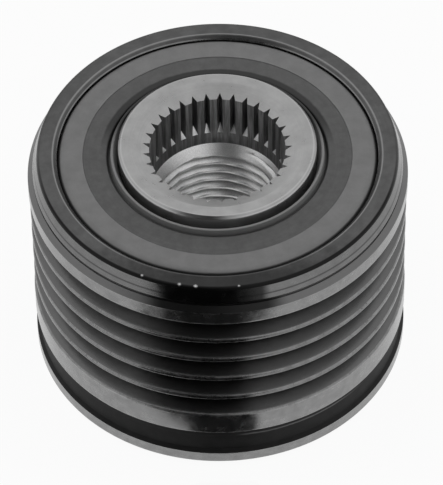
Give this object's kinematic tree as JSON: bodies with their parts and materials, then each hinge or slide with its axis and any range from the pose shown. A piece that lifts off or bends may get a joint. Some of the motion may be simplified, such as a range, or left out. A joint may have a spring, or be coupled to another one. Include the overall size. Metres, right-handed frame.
{
  "type": "overrunning alternator pulley",
  "caption": "Ribbed belt pulley that drives a threaded alternator hub through a one-way roller clutch between needle bearings, sealed at both sides.",
  "frame": {"origin": "centre of the hub's rear face, on the pulley's axis", "axes": "+Z along the axis from the rear face to the front face with the tool socket; X and Y are equal radial directions, and +X points through the middle of one roller flat"},
  "size_m": [0.047, 0.047, 0.0339],
  "materials": {
    "ring_steel": "dark phosphated and oiled steel, semi-gloss",
    "hub_steel": "turned steel, satin",
    "race_steel": "ground and hardened steel, fine satin",
    "roller_steel": "lapped bearing steel, bright",
    "spring_steel": "blank spring steel",
    "cage_plastic": "natural glass-filled polyamide",
    "washer_plastic": "dark filled polyamide",
    "seal_case_steel": "zinc-phosphated sheet, matt grey",
    "seal_rubber": "nitrile rubber, matt"
  },
  "bodies": {
    "hub": {"hub": "hub_steel", "inner_sleeve": "race_steel", "clutch_rollers": "roller_steel", "clutch_cage": "cage_plastic", "clutch_springs": "spring_steel", "front_thrust_washer": "washer_plastic", "rear_thrust_washer": "washer_plastic"},
    "pulley": {"pulley_ring": "ring_steel", "outer_sleeve": "race_steel", "front_seal_case": "seal_case_steel", "front_seal_lip": "seal_rubber", "rear_seal_case": "seal_case_steel", "rear_seal_lip": "seal_rubber"},
    "front_bearing": {"front_bearing_cage": "cage_plastic", "front_bearing_needles": "roller_steel"},
    "rear_bearing": {"rear_bearing_cage": "cage_plastic", "rear_bearing_needles": "roller_steel"}
  },
  "joints": [
    {"name": "pulley_spin", "type": "hinge", "parent": "hub", "child": "pulley", "pos_m": [0, 0, 0.0167], "axis": [0, 0, 1], "continuous": true},
    {"name": "front_bearing_spin", "type": "hinge", "parent": "hub", "child": "front_bearing", "pos_m": [0, 0, 0.0167], "axis": [0, 0, 1], "continuous": true},
    {"name": "rear_bearing_spin", "type": "hinge", "parent": "hub", "child": "rear_bearing", "pos_m": [0, 0, 0.0167], "axis": [0, 0, 1], "continuous": true}
  ],
  "couplings": [
    {"joint": "front_bearing_spin", "follows": "pulley_spin", "ratio": 0.54237},
    {"joint": "rear_bearing_spin", "follows": "pulley_spin", "ratio": 0.54237}
  ]
}
